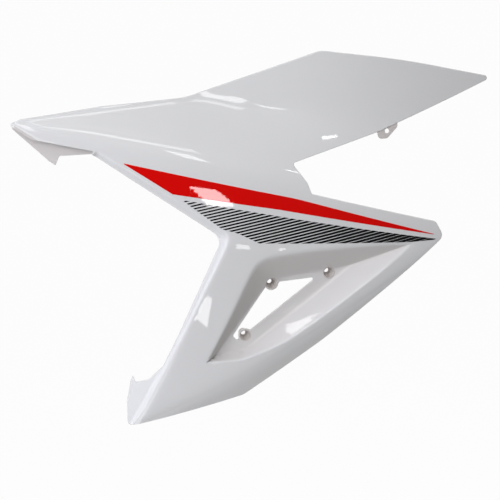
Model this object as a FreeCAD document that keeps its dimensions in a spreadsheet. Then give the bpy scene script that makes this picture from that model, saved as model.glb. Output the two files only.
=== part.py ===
import FreeCAD, Part
import math
import os

# Front fairing panel of a motorbike, left-hand side: one injection moulding with two printed films.
# Millimetres. X runs rearward along the bike, Y inward from the outer face, Z up.
# The origin is where a screw's head seats on the floor of the front upper screw cup.

doc = FreeCAD.newDocument("front_fairing_panel")
sheet = doc.addObject("Spreadsheet::Sheet", "sizes")

# Lengths are millimetres. Slopes are millimetres of depth for each millimetre of height.
lengths = {
    # moulded wall
    "wall": 2.5,
    # side band: how far it stands proud of the scoop's plate, and its bow seen from above
    "band_stand": 27.0,
    "band_middle_x": 38.0,
    "band_bow_radius": 1300.0,
    # soft crease along the side band under the print
    "crease_z": 51.0,
    "crease_fall": 0.12,
    "crease_blend": 6.0,
    "slope_above_crease": 0.08,
    "slope_below_crease": 0.05,
    # shoulder roll between the side band and the dished top face
    "shoulder_x": 40.0,
    "shoulder_z": 116.0,
    "shoulder_rise": 0.30,
    "shoulder_sag": 0.00019,
    "shoulder_blend": 6.5,
    # top face: steep over the beak, easing to the slope of the blade's rear end
    "dish_slope": 0.84,
    "rear_slope": 0.40,
    "slope_change_x": 8.0,
    "slope_change_reach": 60.0,
    # valley where the blade and the beak's raised rim leave the dish
    "valley_x": -75.0,
    "valley_z": 213.5,
    "valley_fall_front": 0.085,
    "valley_fall_rear": 0.19,
    "valley_turn": 5.0,
    "valley_blend": 4.0,
    "blade_slope": 0.30,
    # lower roll along the foot and the lower arm
    "roll_front_x": -152.0,
    "roll_front_z": -160.0,
    "roll_heel_x": -45.0,
    "roll_heel_z": -112.0,
    "roll_tail_x": 200.0,
    "roll_tail_z": 38.0,
    "roll_turn": 3.0,
    "roll_slope": 0.62,
    "roll_blend": 5.0,
    # turned-in front flange: slope, and how deep its root starts below the outer face
    "flange_slope": 1.75,
    "flange_root": 0.6,
    "flange_root_depth": 1.3,
    "flange_corner_blend": 5.0,
    # stepped-back flange under the beak
    "beak_step": 9.0,
    "beak_rib_inset": 0.3,
    "rib_root_depth": 0.8,
    # scoop: the walls are set out on the plate and at the mouth's depth
    "mouth_depth": 24.0,
    "scoop_wall_grow": 3.5,
    "scoop_front": 48.0,
    # screw cups
    "cup_outer_radius": 7.3,
    "cup_radius": 5.8,
    "cup_depth": 11.0,
    "cup_floor": 2.5,
    "cup_rim": 0.6,
    "lobe_radius": 8.0,
    "screw_radius": 2.75,
    "cup_two_x": -31.0,
    "cup_two_z": -60.0,
    "cup_three_x": 67.5,
    "cup_three_z": 9.5,
    # blade tab
    "tab_set_back": 1.2,
    "tab_hole_x": 140.5,
    "tab_hole_z": 169.0,
    "tab_hole_radius": 2.75,
    "tab_hole_length": 25.0,
    # printed films and the adhesive under them
    "film": 0.15,
    "adhesive": 0.2,
    # slanting bars of the hatched field, which widen toward its rear end
    "bar_pitch": 3.42,
    "bar_width_front": 1.5,
    "bar_width_rear": 2.75,
    "bar_angle": 11.3,
    # pole spacing of the free-form faces
    "pole_pitch": 9.0,
}

# Corners as x, z and corner radius, going round each outline.
outlines = {
    "face": {
        "tip": (-296.0, 192.5, 3.0),
        "nose": (-281.0, 198.0, 14.0),
        "beak_top": (-190.0, 209.0, 150.0),
        "blade_root": (-92.0, 214.5, 90.0),
        "apex": (66.0, 261.5, 3.0),
        "blade_top": (165.0, 247.5, 900.0),
        "blade_end": (281.5, 220.0, 2.0),
        "blade_under": (128.0, 168.5, 250.0),
        "notch": (22.0, 141.5, 2.5),
        "notch_knee": (37.5, 120.5, 8.0),
        "notch_foot": (42.0, 107.8, 4.0),
        "tail_top": (191.5, 67.0, 6.0),
        "tail_end": (201.0, 49.0, 8.0),
        "arm_under": (60.0, -67.5, 300.0),
        "heel": (-32.0, -132.5, 18.0),
        "toe": (-163.0, -161.0, 1.0),
        "arm_fold": (-101.5, -42.0, 300.0),
        "elbow": (-52.0, 64.5, 14.0),
        "beak_heel": (-200.0, 162.0, 3.0),
        "beak_low": (-270.0, 175.5, 10.0),
    },
    "flange": {
        "edge_front": (-205.0, 158.5, 1.5),
        "edge_elbow": (-60.0, 59.0, 13.0),
        "edge_arm": (-106.0, -45.0, 300.0),
        "edge_foot": (-127.5, -90.0, 8.0),
        "prong_root": (-142.5, -108.5, 10.0),
        "prong_gap": (-155.5, -116.0, 1.0),
        "prong_tip": (-157.5, -109.5, 0.4),
        "prong_heel": (-160.5, -117.0, 3.0),
        "shin": (-166.0, -140.0, 30.0),
        "toe_front": (-167.5, -161.5, 2.0),
    },
    "beak_flange": {
        "lip_front": (-290.5, 186.5, 1.5),
        "tooth_front": (-250.0, 149.5, 1.5),
        "tooth_tip": (-244.0, 145.5, 1.0),
        "tooth_rear": (-239.5, 156.0, 3.0),
        "lip_rear": (-203.0, 158.0, 2.0),
        "lip_end": (-197.0, 163.0, 1.0),
    },
    "plate": {
        "plate_toe": (-67.0, -83.0, 0.0),
        "plate_corner": (-2.0, 5.0, 9.0),
        "plate_tail": (88.0, 15.5, 0.0),
        "plate_under": (2.0, -53.5, 18.0),
        "plate_heel": (-30.0, -76.0, 15.0),
    },
    "mouth": {
        "mouth_toe": (-87.0, -88.5, 0.0),
        "mouth_corner": (-22.0, 35.5, 20.0),
        "mouth_tail": (175.0, 49.5, 0.0),
        "mouth_under": (14.0, -67.0, 30.0),
        "mouth_heel": (-39.5, -87.0, 25.0),
    },
    "opening": {
        "opening_tail": (53.5, 5.0, 2.0),
        "opening_top": (-4.0, 0.5, 2.0),
        "opening_toe": (-45.5, -60.0, 2.5),
        "opening_foot": (-40.5, -65.5, 2.5),
    },
    "tab": {
        "tab_top_front": (124.0, 184.0, 2.0),
        "tab_front": (130.0, 161.0, 3.5),
        "tab_foot": (140.0, 161.0, 5.0),
        "tab_rear": (154.0, 173.0, 3.0),
        "tab_top_rear": (154.0, 192.0, 2.0),
    },
    "stripe": {
        "stripe_front": (-172.0, 149.5, 0.0),
        "stripe_shoulder": (25.0, 103.3, 400.0),
        "stripe_end": (192.0, 52.0, 0.0),
        "stripe_under": (4.0, 92.0, 400.0),
        "stripe_heel": (-117.0, 113.5, 1.5),
    },
    "hatch": {
        "hatch_front": (-107.0, 107.0, 0.0),
        "hatch_top": (44.0, 76.1, 200.0),
        "hatch_end": (192.0, 46.6, 0.0),
        "hatch_under": (159.0, 46.1, 100.0),
        "hatch_low": (-20.0, 54.6, 3.0),
        "hatch_mid": (-43.0, 66.5, 6.0),
        "hatch_heel": (-62.0, 72.5, 8.0),
    },
}

cells = dict(lengths)
for corners in outlines.values():
    for name, (x, z, radius) in corners.items():
        cells[name + "_x"] = x
        cells[name + "_z"] = z
        cells[name + "_radius"] = radius
# Cutting prisms reach a quarter of the panel's length to each side.
cells["prism_reach"] = "=(blade_end_x - tip_x) / 4"

for row, (alias, content) in enumerate(cells.items(), start=1):
    sheet.set("A%d" % row, alias)
    sheet.set("B%d" % row, str(content))
    sheet.setAlias("B%d" % row, alias)
doc.recompute()

# Largest share of a side that one corner's arc may take
corner_share = 0.45
# Step to each side over which a slope is measured, in millimetres
slope_probe = 0.5
# Pole pitches that a free-form face runs on beyond its outline
margin_pitches = 4
# Number of blends above a fold from which the ramp is straight
straight_ratio = 40.0


def size(alias):
    return float(sheet.get(alias))


def place(name):
    return size(name + "_x"), size(name + "_z")


def corner(name):
    return size(name + "_x"), size(name + "_z"), size(name + "_radius")


def corners_of(outline):
    return [corner(name) for name in outlines[outline]]


# Soft ramps and folds

def ramp(height, blend):
    """Zero well below the fold, the height itself well above it, rounded over the blend."""
    ratio = height / blend
    if ratio > straight_ratio:
        return height
    return blend * math.log1p(math.exp(ratio))


def line_height(start, end, x):
    return start[1] + (x - start[0]) * (end[1] - start[1]) / (end[0] - start[0])


def left_of(start, end, x, z):
    """Distance to the left of the line from start to end."""
    run = end[0] - start[0]
    rise = end[1] - start[1]
    return (run * (z - start[1]) - rise * (x - start[0])) / math.hypot(run, rise)


# Outer face of the moulding as a depth over height and length

def shoulder_height(x):
    run = size("shoulder_x") - x
    return size("shoulder_z") + size("shoulder_rise") * run - size("shoulder_sag") * run * run


def valley_height(x):
    run = x - size("valley_x")
    turn = size("valley_turn")
    fall = size("valley_fall_front") * ramp(-run, turn) + size("valley_fall_rear") * ramp(run, turn)
    return size("valley_z") - fall


def roll_height(x):
    front = (size("roll_front_x"), size("roll_front_z"))
    heel = (size("roll_heel_x"), size("roll_heel_z"))
    tail = (size("roll_tail_x"), size("roll_tail_z"))
    foot = line_height(front, heel, x)
    arm = line_height(heel, tail, x)
    return foot + ramp(arm - foot, size("roll_turn"))


def skin_depth(x, z):
    bow = x - size("band_middle_x")
    depth = bow * bow / (2.0 * size("band_bow_radius")) - size("band_stand") - size("cup_depth")
    above_crease = z - size("crease_z") + size("crease_fall") * x
    depth += size("slope_above_crease") * ramp(above_crease, size("crease_blend"))
    depth += size("slope_below_crease") * ramp(-above_crease, size("crease_blend"))
    ease = 1.0 / (1.0 + math.exp((x - size("slope_change_x")) / size("slope_change_reach")))
    top_slope = size("rear_slope") + (size("dish_slope") - size("rear_slope")) * ease
    shoulder = top_slope - size("slope_above_crease")
    depth += shoulder * ramp(z - shoulder_height(x), size("shoulder_blend"))
    depth -= (top_slope - size("blade_slope")) * ramp(z - valley_height(x), size("valley_blend"))
    depth += size("roll_slope") * ramp(roll_height(x) - z, size("roll_blend"))
    return depth


fold_corners = ("toe", "arm_fold", "elbow", "beak_heel")


def flange_depth(x, z):
    toe, arm, elbow, heel = [place(name) for name in fold_corners]
    beak_run = left_of(elbow, heel, x, z)
    arm_run = min(left_of(toe, arm, x, z), left_of(arm, elbow, x, z))
    run = beak_run - ramp(beak_run - arm_run, size("flange_corner_blend"))
    return skin_depth(x, z) + size("flange_slope") * run + size("flange_root_depth")


# Free-form slabs and cutting prisms

def outline_wire(corners, y):
    """Closed wire in the plane Y = y with a tangent arc at every corner that has a radius."""
    points = [FreeCAD.Vector(x, y, z) for x, z, radius in corners]
    ends = []
    for index, (x, z, radius) in enumerate(corners):
        here = points[index]
        back = points[index - 1] - here
        ahead = points[(index + 1) % len(points)] - here
        half = back.getAngle(ahead) / 2.0
        most = corner_share * min(back.Length, ahead.Length)
        reach = min(radius / math.tan(half), most)
        back.normalize()
        ahead.normalize()
        middle = back + ahead
        middle.normalize()
        inset = reach * (1.0 / math.cos(half) - math.tan(half))
        ends.append((here + back * reach, here + middle * inset, here + ahead * reach))
    edges = []
    for index, (start, middle, end) in enumerate(ends):
        edges.append(Part.LineSegment(ends[index - 1][2], start).toShape())
        if corners[index][2] > 0.0:
            edges.append(Part.Arc(start, middle, end).toShape())
    return Part.Wire(edges)


def prism(corners):
    reach = size("prism_reach")
    return Part.Face(outline_wire(corners, -reach)).extrude(FreeCAD.Vector(0.0, 2.0 * reach, 0.0))


def span(values):
    """Knots with the pole pitch that cover the values and a margin beyond each end."""
    pitch = size("pole_pitch")
    first = math.floor(min(values) / pitch) - margin_pitches
    last = math.ceil(max(values) / pitch) + margin_pitches
    return [pitch * step for step in range(first, last + 1)]


def poles_along(knots):
    """Places of the poles of a clamped cubic spline whose parameter is the coordinate itself."""
    padded = [knots[0]] * 3 + knots + [knots[-1]] * 3
    return [sum(padded[index + 1:index + 4]) / 3.0 for index in range(len(knots) + 2)]


def offset_depth(depth, offset, x, z):
    """Depth of the face that lies the offset behind the given one, measured square to it."""
    step = slope_probe
    slope_x = (depth(x + step, z) - depth(x - step, z)) / (2.0 * step)
    slope_z = (depth(x, z + step) - depth(x, z - step)) / (2.0 * step)
    return depth(x, z) + offset * math.sqrt(1.0 + slope_x * slope_x + slope_z * slope_z)


def depth_face(depth, offset, x_knots, z_knots):
    poles = [
        [FreeCAD.Vector(x, offset_depth(depth, offset, x, z), z) for z in poles_along(z_knots)]
        for x in poles_along(x_knots)
    ]
    x_mults = [4] + [1] * (len(x_knots) - 2) + [4]
    z_mults = [4] + [1] * (len(z_knots) - 2) + [4]
    surface = Part.BSplineSurface()
    surface.buildFromPolesMultsKnots(poles, x_mults, z_mults, x_knots, z_knots, False, False, 3, 3)
    return surface.toShape()


def slab(depth, near, far, corners):
    """Solid between two offsets of a face, over a knot grid that covers the corners."""
    x_knots = span([corner[0] for corner in corners])
    z_knots = span([corner[1] for corner in corners])
    outer = depth_face(depth, near, x_knots, z_knots)
    inner = depth_face(depth, far, x_knots, z_knots)
    sides = [Part.makeRuledSurface(front, rear) for front, rear in zip(outer.Edges, inner.Edges)]
    shell = Part.Shell([outer, inner] + sides)
    shell.sewShape()
    solid = Part.Solid(shell)
    if solid.Volume < 0.0:
        solid.reverse()
    return solid


def moulded(depth, near, far, corners):
    return slab(depth, near, far, corners).common(prism(corners))


def grown(corners, distances):
    """Outline whose edge after each corner is moved outward by its own distance."""
    area = sum(a[0] * b[1] - b[0] * a[1] for a, b in zip(corners, corners[1:] + corners[:1]))
    turn = 1.0 if area > 0.0 else -1.0
    lines = []
    for index, (x, z, radius) in enumerate(corners):
        end = corners[(index + 1) % len(corners)]
        run = end[0] - x
        rise = end[1] - z
        length = math.hypot(run, rise)
        shift = turn * distances[index] / length
        lines.append((x + rise * shift, z - run * shift, run / length, rise / length))
    moved = []
    for index, (x, z, radius) in enumerate(corners):
        ax, az, arun, arise = lines[index - 1]
        bx, bz, brun, brise = lines[index]
        along = ((bx - ax) * brise - (bz - az) * brun) / (arun * brise - arise * brun)
        moved.append((ax + arun * along, az + arise * along, radius))
    return moved


# Moulding: outer skin, turned-in front flange, stepped flange under the beak, blade tab

def feature(name, shape):
    item = doc.addObject("Part::Feature", name)
    item.Shape = shape
    return item


wall = size("wall")
face_corners = corners_of("face")
skin = feature("skin", moulded(skin_depth, 0.0, wall, face_corners))

fold_path = [corner(name) for name in fold_corners]
edge_path = corners_of("flange")
flange_roots = [size("flange_root")] * (len(fold_path) - 1) + [0.0] * (len(edge_path) + 1)
flange_corners = grown(fold_path + edge_path, flange_roots)
flange = feature("front_flange", moulded(flange_depth, 0.0, wall, flange_corners))

rib_end_x = size("lip_front_x")
rib_end = (rib_end_x, line_height(place("beak_low"), place("tip"), rib_end_x), 0.0)
rib_path = [corner("beak_heel"), corner("beak_low"), rib_end]


def beside_beak_edge(inset):
    """The beak's lower edge moved up into the panel by the inset."""
    closing = [(rib_end_x, size("apex_z"), 0.0), (size("beak_heel_x"), size("apex_z"), 0.0)]
    shrunk = grown(rib_path + closing, [-inset, -inset, 0.0, 0.0, 0.0])
    return [(x, z, 0.0) for x, z, radius in shrunk[:3]]


rib_inset = size("beak_rib_inset")
rib_corners = beside_beak_edge(rib_inset) + beside_beak_edge(rib_inset + wall)[::-1]
rib_depth = size("beak_step") + wall / 2.0
rib = feature("beak_rib", moulded(skin_depth, size("rib_root_depth"), rib_depth, rib_corners))

lip_corners = corners_of("beak_flange") + beside_beak_edge(rib_inset + wall / 2.0)
beak_step = size("beak_step")
beak_flange = feature("beak_flange", moulded(skin_depth, beak_step, beak_step + wall, lip_corners))

tab_front = size("tab_set_back")
tab = feature("blade_tab", moulded(skin_depth, tab_front, tab_front + wall, corners_of("tab")))


# Scoop: a block behind the skin, hollowed to the mouth, with a three-cornered opening in its plate

def scoop_section(depth, grow):
    """Wire of the scoop's walls at a depth in front of its plate, moved outward by the wall."""
    share = depth / size("mouth_depth")
    section = []
    for floor, mouth in zip(corners_of("plate"), corners_of("mouth")):
        section.append(tuple(a + (b - a) * share for a, b in zip(floor, mouth)))
    return outline_wire(grown(section, [grow] * len(section)), -size("cup_depth") - depth)


def scoop_frustum(front, back, grow):
    return Part.makeLoft([scoop_section(front, grow), scoop_section(-back, grow)], True, True)


def behind_skin(offset, corners):
    x_knots = span([corner[0] for corner in corners])
    z_knots = span([corner[1] for corner in corners])
    reach = FreeCAD.Vector(0.0, size("prism_reach"), 0.0)
    return depth_face(skin_depth, offset, x_knots, z_knots).extrude(reach)


scoop_front = size("scoop_front")
block = scoop_frustum(scoop_front, wall, size("scoop_wall_grow"))
scoop = feature("scoop_block", block.common(behind_skin(wall / 2.0, corners_of("mouth"))))
cavity = feature("scoop_cavity", scoop_frustum(scoop_front, 0.0, 0.0))


def cylinder(name, radius, start, length, x, z):
    """Cylinder along Y; radius, start and length are expressions on the sheet's cells."""
    item = doc.addObject("Part::Cylinder", name)
    item.Placement = FreeCAD.Placement(
        FreeCAD.Vector(), FreeCAD.Rotation(FreeCAD.Vector(1.0, 0.0, 0.0), -90.0)
    )
    item.setExpression("Radius", radius)
    item.setExpression("Height", length)
    item.setExpression("Placement.Base.y", start)
    item.setExpression("Placement.Base.x", x)
    item.setExpression("Placement.Base.z", z)
    return item


cup_places = {
    "one": ("0 mm", "0 mm"),
    "two": ("sizes.cup_two_x * 1 mm", "sizes.cup_two_z * 1 mm"),
    "three": ("sizes.cup_three_x * 1 mm", "sizes.cup_three_z * 1 mm"),
}
lobes = []
cups = []
wells = []
for number, (x, z) in cup_places.items():
    lobes.append(cylinder(
        "lobe_" + number, "sizes.lobe_radius * 1 mm", "-sizes.prism_reach * 1 mm",
        "2 * sizes.prism_reach * 1 mm", x, z))
    cups.append(cylinder(
        "cup_" + number, "sizes.cup_outer_radius * 1 mm", "-(sizes.cup_rim + sizes.cup_depth) * 1 mm",
        "(sizes.cup_rim + sizes.cup_depth + sizes.cup_floor) * 1 mm", x, z))
    wells.append(cylinder(
        "well_" + number, "sizes.cup_radius * 1 mm", "-(2 * sizes.cup_radius + sizes.cup_depth) * 1 mm",
        "(2 * sizes.cup_radius + sizes.cup_depth) * 1 mm", x, z))
    wells.append(cylinder(
        "screw_hole_" + number, "sizes.screw_radius * 1 mm", "-sizes.cup_floor * 1 mm",
        "3 * sizes.cup_floor * 1 mm", x, z))

hole_x, hole_z = size("tab_hole_x"), size("tab_hole_z")
hole_rise = skin_depth(hole_x, hole_z + slope_probe) - skin_depth(hole_x, hole_z - slope_probe)
hole_slope = hole_rise / (2.0 * slope_probe)
tab_hole = doc.addObject("Part::Cylinder", "tab_hole")
tab_hole.setExpression("Radius", "sizes.tab_hole_radius * 1 mm")
tab_hole.setExpression("Height", "sizes.tab_hole_length * 1 mm")
tab_axis = FreeCAD.Vector(0.0, 1.0, -hole_slope)
tab_axis.normalize()
tab_centre = FreeCAD.Vector(hole_x, skin_depth(hole_x, hole_z), hole_z)
tab_hole_start = tab_centre - tab_axis * (size("tab_hole_length") / 2.0)
tab_hole.Placement = FreeCAD.Placement(
    tab_hole_start, FreeCAD.Rotation(FreeCAD.Vector(0.0, 0.0, 1.0), tab_axis)
)
wells.append(tab_hole)

opening_block = feature("opening_block", prism(corners_of("opening")))
opening = doc.addObject("Part::Cut", "opening")
opening.Base = opening_block
opening_lobes = doc.addObject("Part::MultiFuse", "opening_lobes")
opening_lobes.Shapes = lobes
opening.Tool = opening_lobes

shell = doc.addObject("Part::MultiFuse", "shell")
shell.Shapes = [skin, flange, rib, beak_flange, tab, scoop]
hollowed = doc.addObject("Part::Cut", "hollowed")
hollowed.Base = shell
hollowed.Tool = cavity
pierced = doc.addObject("Part::Cut", "pierced")
pierced.Base = hollowed
pierced.Tool = opening
cupped = doc.addObject("Part::MultiFuse", "cupped")
cupped.Shapes = [pierced] + cups
bores = doc.addObject("Part::MultiFuse", "bores")
bores.Shapes = wells
panel = doc.addObject("Part::Cut", "panel")
panel.Base = cupped
panel.Tool = bores
panel.Label = "moulded_panel"


# Printed films on the side band: a tapered stripe and a field of slanting bars

film_back = -size("adhesive")
film_front = film_back - size("film")
stripe = feature("stripe", moulded(skin_depth, film_front, film_back, corners_of("stripe")))
stripe.Label = "red_stripe"


def hatch_bars(corners):
    """Slanting bars across the field, as prisms through its film, wider at the rear end."""
    angle = math.radians(size("bar_angle"))
    across = (-math.sin(angle), math.cos(angle))
    heights = [x * across[0] + z * across[1] for x, z, radius in corners]
    pitch = size("bar_pitch")
    front = (size("hatch_front_x") - pitch, size("bar_width_front") / 2.0)
    rear = (size("hatch_end_x") + pitch, size("bar_width_rear") / 2.0)
    bars = []
    for step in range(math.ceil(min(heights) / pitch), math.floor(max(heights) / pitch) + 1):
        edges = []
        for x, half in (front, rear):
            z = (step * pitch - x * across[0]) / across[1]
            for side in (-half, half):
                edges.append((x + side * across[0], z + side * across[1], 0.0))
        bars.append(prism([edges[0], edges[2], edges[3], edges[1]]))
    return Part.makeCompound(bars)


hatch_corners = corners_of("hatch")
hatch_film = moulded(skin_depth, film_front, film_back, hatch_corners)
hatch = feature("hatch", hatch_film.common(hatch_bars(hatch_corners)))
hatch.Label = "black_hatch"

doc.recompute()

for item in doc.Objects:
    if "Invalid" in item.State or "Error" in item.State:
        raise RuntimeError("object did not recompute: " + item.Name)

os.makedirs("parts", exist_ok=True)
for node in (panel, stripe, hatch):
    if node.Shape.isNull() or not node.Shape.isValid():
        raise RuntimeError("shape is not valid: " + node.Label)
    node.Shape.exportStep("parts/" + node.Label + ".step")
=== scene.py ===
import bmesh
import bpy
import math
import numpy as np
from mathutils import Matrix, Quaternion, Vector
from mathutils.geometry import delaunay_2d_cdt


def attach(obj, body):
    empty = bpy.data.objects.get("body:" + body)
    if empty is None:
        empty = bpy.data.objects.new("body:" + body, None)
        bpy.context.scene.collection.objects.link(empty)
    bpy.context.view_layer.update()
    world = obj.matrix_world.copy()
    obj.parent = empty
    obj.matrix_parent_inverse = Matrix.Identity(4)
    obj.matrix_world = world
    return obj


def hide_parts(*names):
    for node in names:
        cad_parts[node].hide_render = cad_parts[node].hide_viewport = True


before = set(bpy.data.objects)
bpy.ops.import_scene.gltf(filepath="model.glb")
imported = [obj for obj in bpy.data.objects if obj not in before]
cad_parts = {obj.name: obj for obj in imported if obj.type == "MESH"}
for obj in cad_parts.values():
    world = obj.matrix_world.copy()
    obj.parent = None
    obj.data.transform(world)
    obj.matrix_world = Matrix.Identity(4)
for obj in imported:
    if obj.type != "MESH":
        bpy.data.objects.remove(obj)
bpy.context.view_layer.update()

# Moulded panel
# The left-hand front fairing panel: one injection moulding of white ABS with a clear gloss coat.
# Its outer face is one sheet that folds back along the front arm and dips into the scoop, where screws
# through three cups hold it on the bike.

mm = 0.001
wall = 2.5
edge_round = 0.9
screw_seat_depth = 11.0

# The edge folds back along the line from toe to elbow and on to the beak's heel.
fold_toe = (-163.0, -161.0)
fold_arm = (-101.5, -42.0)
fold_elbow = (-52.0, 64.5)
beak_heel = (-200.0, 162.0)
heel_end = (-205.0, 158.5)
beak_low = (-270.0, 175.5)
beak_tip = (-296.0, 192.5)

# Corners of the panel's outline as x, z and corner radius in millimetres, seen from outside.
panel_corners = [
    (*beak_tip, 3.0), (-281.0, 198.0, 14.0), (-190.0, 209.0, 150.0), (-92.0, 214.5, 90.0),
    (66.0, 261.5, 30.0), (165.0, 247.5, 900.0), (281.5, 220.0, 3.0), (128.0, 168.5, 250.0),
    (22.0, 141.5, 2.5), (37.5, 120.5, 8.0), (42.0, 107.8, 4.0), (191.5, 67.0, 6.0), (201.0, 49.0, 8.0),
    (60.0, -67.5, 300.0), (-32.0, -132.5, 18.0), (*fold_toe, 3.0), (-167.5, -161.5, 2.0),
    (-166.0, -140.0, 30.0), (-160.5, -117.0, 3.0), (-157.5, -109.5, 0.6), (-155.5, -116.0, 1.0),
    (-142.5, -108.5, 10.0), (-127.5, -90.0, 8.0), (-106.0, -45.0, 300.0), (-60.0, 59.0, 13.0),
    (*heel_end, 1.5), (-203.0, 162.6, 1.0), (*beak_low, 10.0),
]

# The outer face bows from front to rear. A slope is depth per millimetre of height.
bow_middle = 38.0
bow_length = 2600.0
bow_depth = 27.0
crease_height = 51.0
crease_fall = 0.12
slope_over_crease = 0.08
slope_under_crease = 0.05
dish_slope_front = 0.84
dish_slope_rear = 0.40
blade_slope = 0.30
roll_slope = 0.62
fold_slope = 1.75
heel_slope = 1.2
heel_gap = 1.0
bevel_slope = 0.5
bevel_width = 5.0
bevel_fade = 30.0
bevel_start = beak_heel[0] - 20.0

# The shoulder roll climbs in a bow from the notch, the valley falls away to both sides of its top, and the
# foot and the lower arm roll under along two straight lines.
shoulder_start = (40.0, 116.0)
shoulder_rise = 0.30
shoulder_bow = 0.00019
valley_top = (-75.0, 213.5)
valley_fall_front = 0.085
valley_fall_rear = 0.19
roll_toe = (-152.0, -160.0)
roll_heel = (-45.0, -112.0)
roll_tail = (200.0, 38.0)

# Each fold of the outer face is rounded over a blend, which can change along the panel.
crease_blend = 6.0
shoulder_blend = 6.5
shoulder_blend_at_tip = 2.0
valley_blend_at_tip = 1.8
valley_blend_in_dish = 4.5
valley_blend_at_corner = 1.5
valley_blend_on_blade = 7.0
valley_top_blend = 5.0
roll_blend = 5.0
roll_heel_blend = 3.0
fold_blend_on_arm = 1.0
fold_blend_on_foot = 2.6
elbow_blend = 5.0
heel_blend = 1.5
bevel_blend = 0.6

# The middle of a change of slope or blend, and the length that it takes.
dish_slope_change = (8.0, 60.0)
shoulder_tip_change = (-232.0, 14.0)
valley_tip_change = (-222.0, 12.0)
valley_corner_change = (-18.0, 4.0)
valley_blade_change = (30.0, 12.0)
fold_foot_change = (-70.0, 14.0)

# The scoop's walls run from the plate's corners to the mouth's corners.
plate_corners = [(-67.0, -83.0), (-2.0, 5.0), (88.0, 15.5), (2.0, -53.5), (-30.0, -76.0)]
mouth_corners = [(-87.0, -88.5), (-22.0, 35.5), (175.0, 49.5), (14.0, -67.0), (-39.5, -87.0)]
mouth_depth = 24.0
mouth_blend = 0.7
upper_wall_blend = 5.0
upper_foot_blend = 0.7
lower_wall_blend = 3.0
lower_foot_blend = 1.6
opening_corners = [(53.5, 5.0, 2.0), (-4.0, 0.5, 2.0), (-45.5, -60.0, 2.5), (-40.5, -65.5, 2.5)]
lobe_radius = 8.0
cup_centres = [(0.0, 0.0), (-31.0, -60.0), (67.5, 9.5)]
cup_outer_radius = 7.3
cup_back_radius = 5.3
cup_radius = 5.8
cup_floor_radius = 3.7
cup_rim = 0.6
cup_floor = 2.5
screw_radius = 2.75


def ramp(height, blend):
    """Zero well below a fold and the height itself well above it, rounded over the blend."""
    return blend * np.logaddexp(0.0, height / blend)


def fades_out(along, middle, length):
    """One well before the middle of a change and zero well after it."""
    return 1.0 / (1.0 + np.exp((along - middle) / length))


def lower_of(first, second, blend):
    """The lower of two depths, rounded where they cross."""
    return first - ramp(first - second, blend)


def higher_of(first, second, blend):
    """The higher of two depths, rounded where they cross."""
    return first + ramp(second - first, blend)


def line_height(start, end, x):
    return start[1] + (x - start[0]) * (end[1] - start[1]) / (end[0] - start[0])


def left_of(start, end, x, z):
    """Distance to the left of the line from start to end."""
    run = end[0] - start[0]
    rise = end[1] - start[1]
    return (run * (z - start[1]) - rise * (x - start[0])) / math.hypot(run, rise)


def shoulder_height(x):
    """Height of the shoulder roll."""
    run = shoulder_start[0] - x
    return shoulder_start[1] + shoulder_rise * run - shoulder_bow * run * run


def valley_height(x):
    """Height of the valley between the dish and the blade."""
    run = x - valley_top[0]
    front_fall = valley_fall_front * ramp(-run, valley_top_blend)
    rear_fall = valley_fall_rear * ramp(run, valley_top_blend)
    return valley_top[1] - front_fall - rear_fall


def roll_height(x):
    """Height at which the foot and the lower arm roll under."""
    foot = line_height(roll_toe, roll_heel, x)
    arm = line_height(roll_heel, roll_tail, x)
    return higher_of(foot, arm, roll_heel_blend)


def valley_blend(x):
    """Rounding of the valley: tight at the beak's tip and at the dish's rear corner, wide on the blade."""
    before_corner = fades_out(x, *valley_corner_change)
    on_blade = 1.0 - fades_out(x, *valley_blade_change)
    at_tip = fades_out(x, *valley_tip_change)
    blend = valley_blend_at_corner + (valley_blend_in_dish - valley_blend_at_corner) * before_corner
    blend = blend + (valley_blend_on_blade - valley_blend_at_corner) * on_blade
    return blend + (valley_blend_at_tip - valley_blend_in_dish) * at_tip


def skin_depth(x, z):
    """Depth of the bare outer face: side band, shoulder roll, dished top, blade and lower roll."""
    depth = (x - bow_middle) ** 2 / bow_length - bow_depth - screw_seat_depth
    over_crease = z - crease_height + crease_fall * x
    depth = depth + slope_over_crease * ramp(over_crease, crease_blend)
    depth = depth + slope_under_crease * ramp(-over_crease, crease_blend)
    dish_slope = dish_slope_rear + (dish_slope_front - dish_slope_rear) * fades_out(x, *dish_slope_change)
    at_tip = fades_out(x, *shoulder_tip_change)
    blend = shoulder_blend + (shoulder_blend_at_tip - shoulder_blend) * at_tip
    depth = depth + (dish_slope - slope_over_crease) * ramp(z - shoulder_height(x), blend)
    depth = depth - (dish_slope - blade_slope) * ramp(z - valley_height(x), valley_blend(x))
    return depth + roll_slope * ramp(roll_height(x) - z, roll_blend)


def turned_edge_depth(x, z):
    """Extra depth of the edge that folds back along the foot and the front arm, up to the beak's heel."""
    beak_run = left_of(fold_elbow, beak_heel, x, z)
    arm_run = np.minimum(left_of(fold_toe, fold_arm, x, z), left_of(fold_arm, fold_elbow, x, z))
    heel_run = heel_slope * left_of(beak_heel, heel_end, x, z) - heel_gap
    run = lower_of(lower_of(beak_run, arm_run, elbow_blend), heel_run, heel_blend)
    on_foot = fades_out(z, *fold_foot_change)
    blend = fold_blend_on_arm + (fold_blend_on_foot - fold_blend_on_arm) * on_foot
    return fold_slope * ramp(run, blend)


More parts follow.
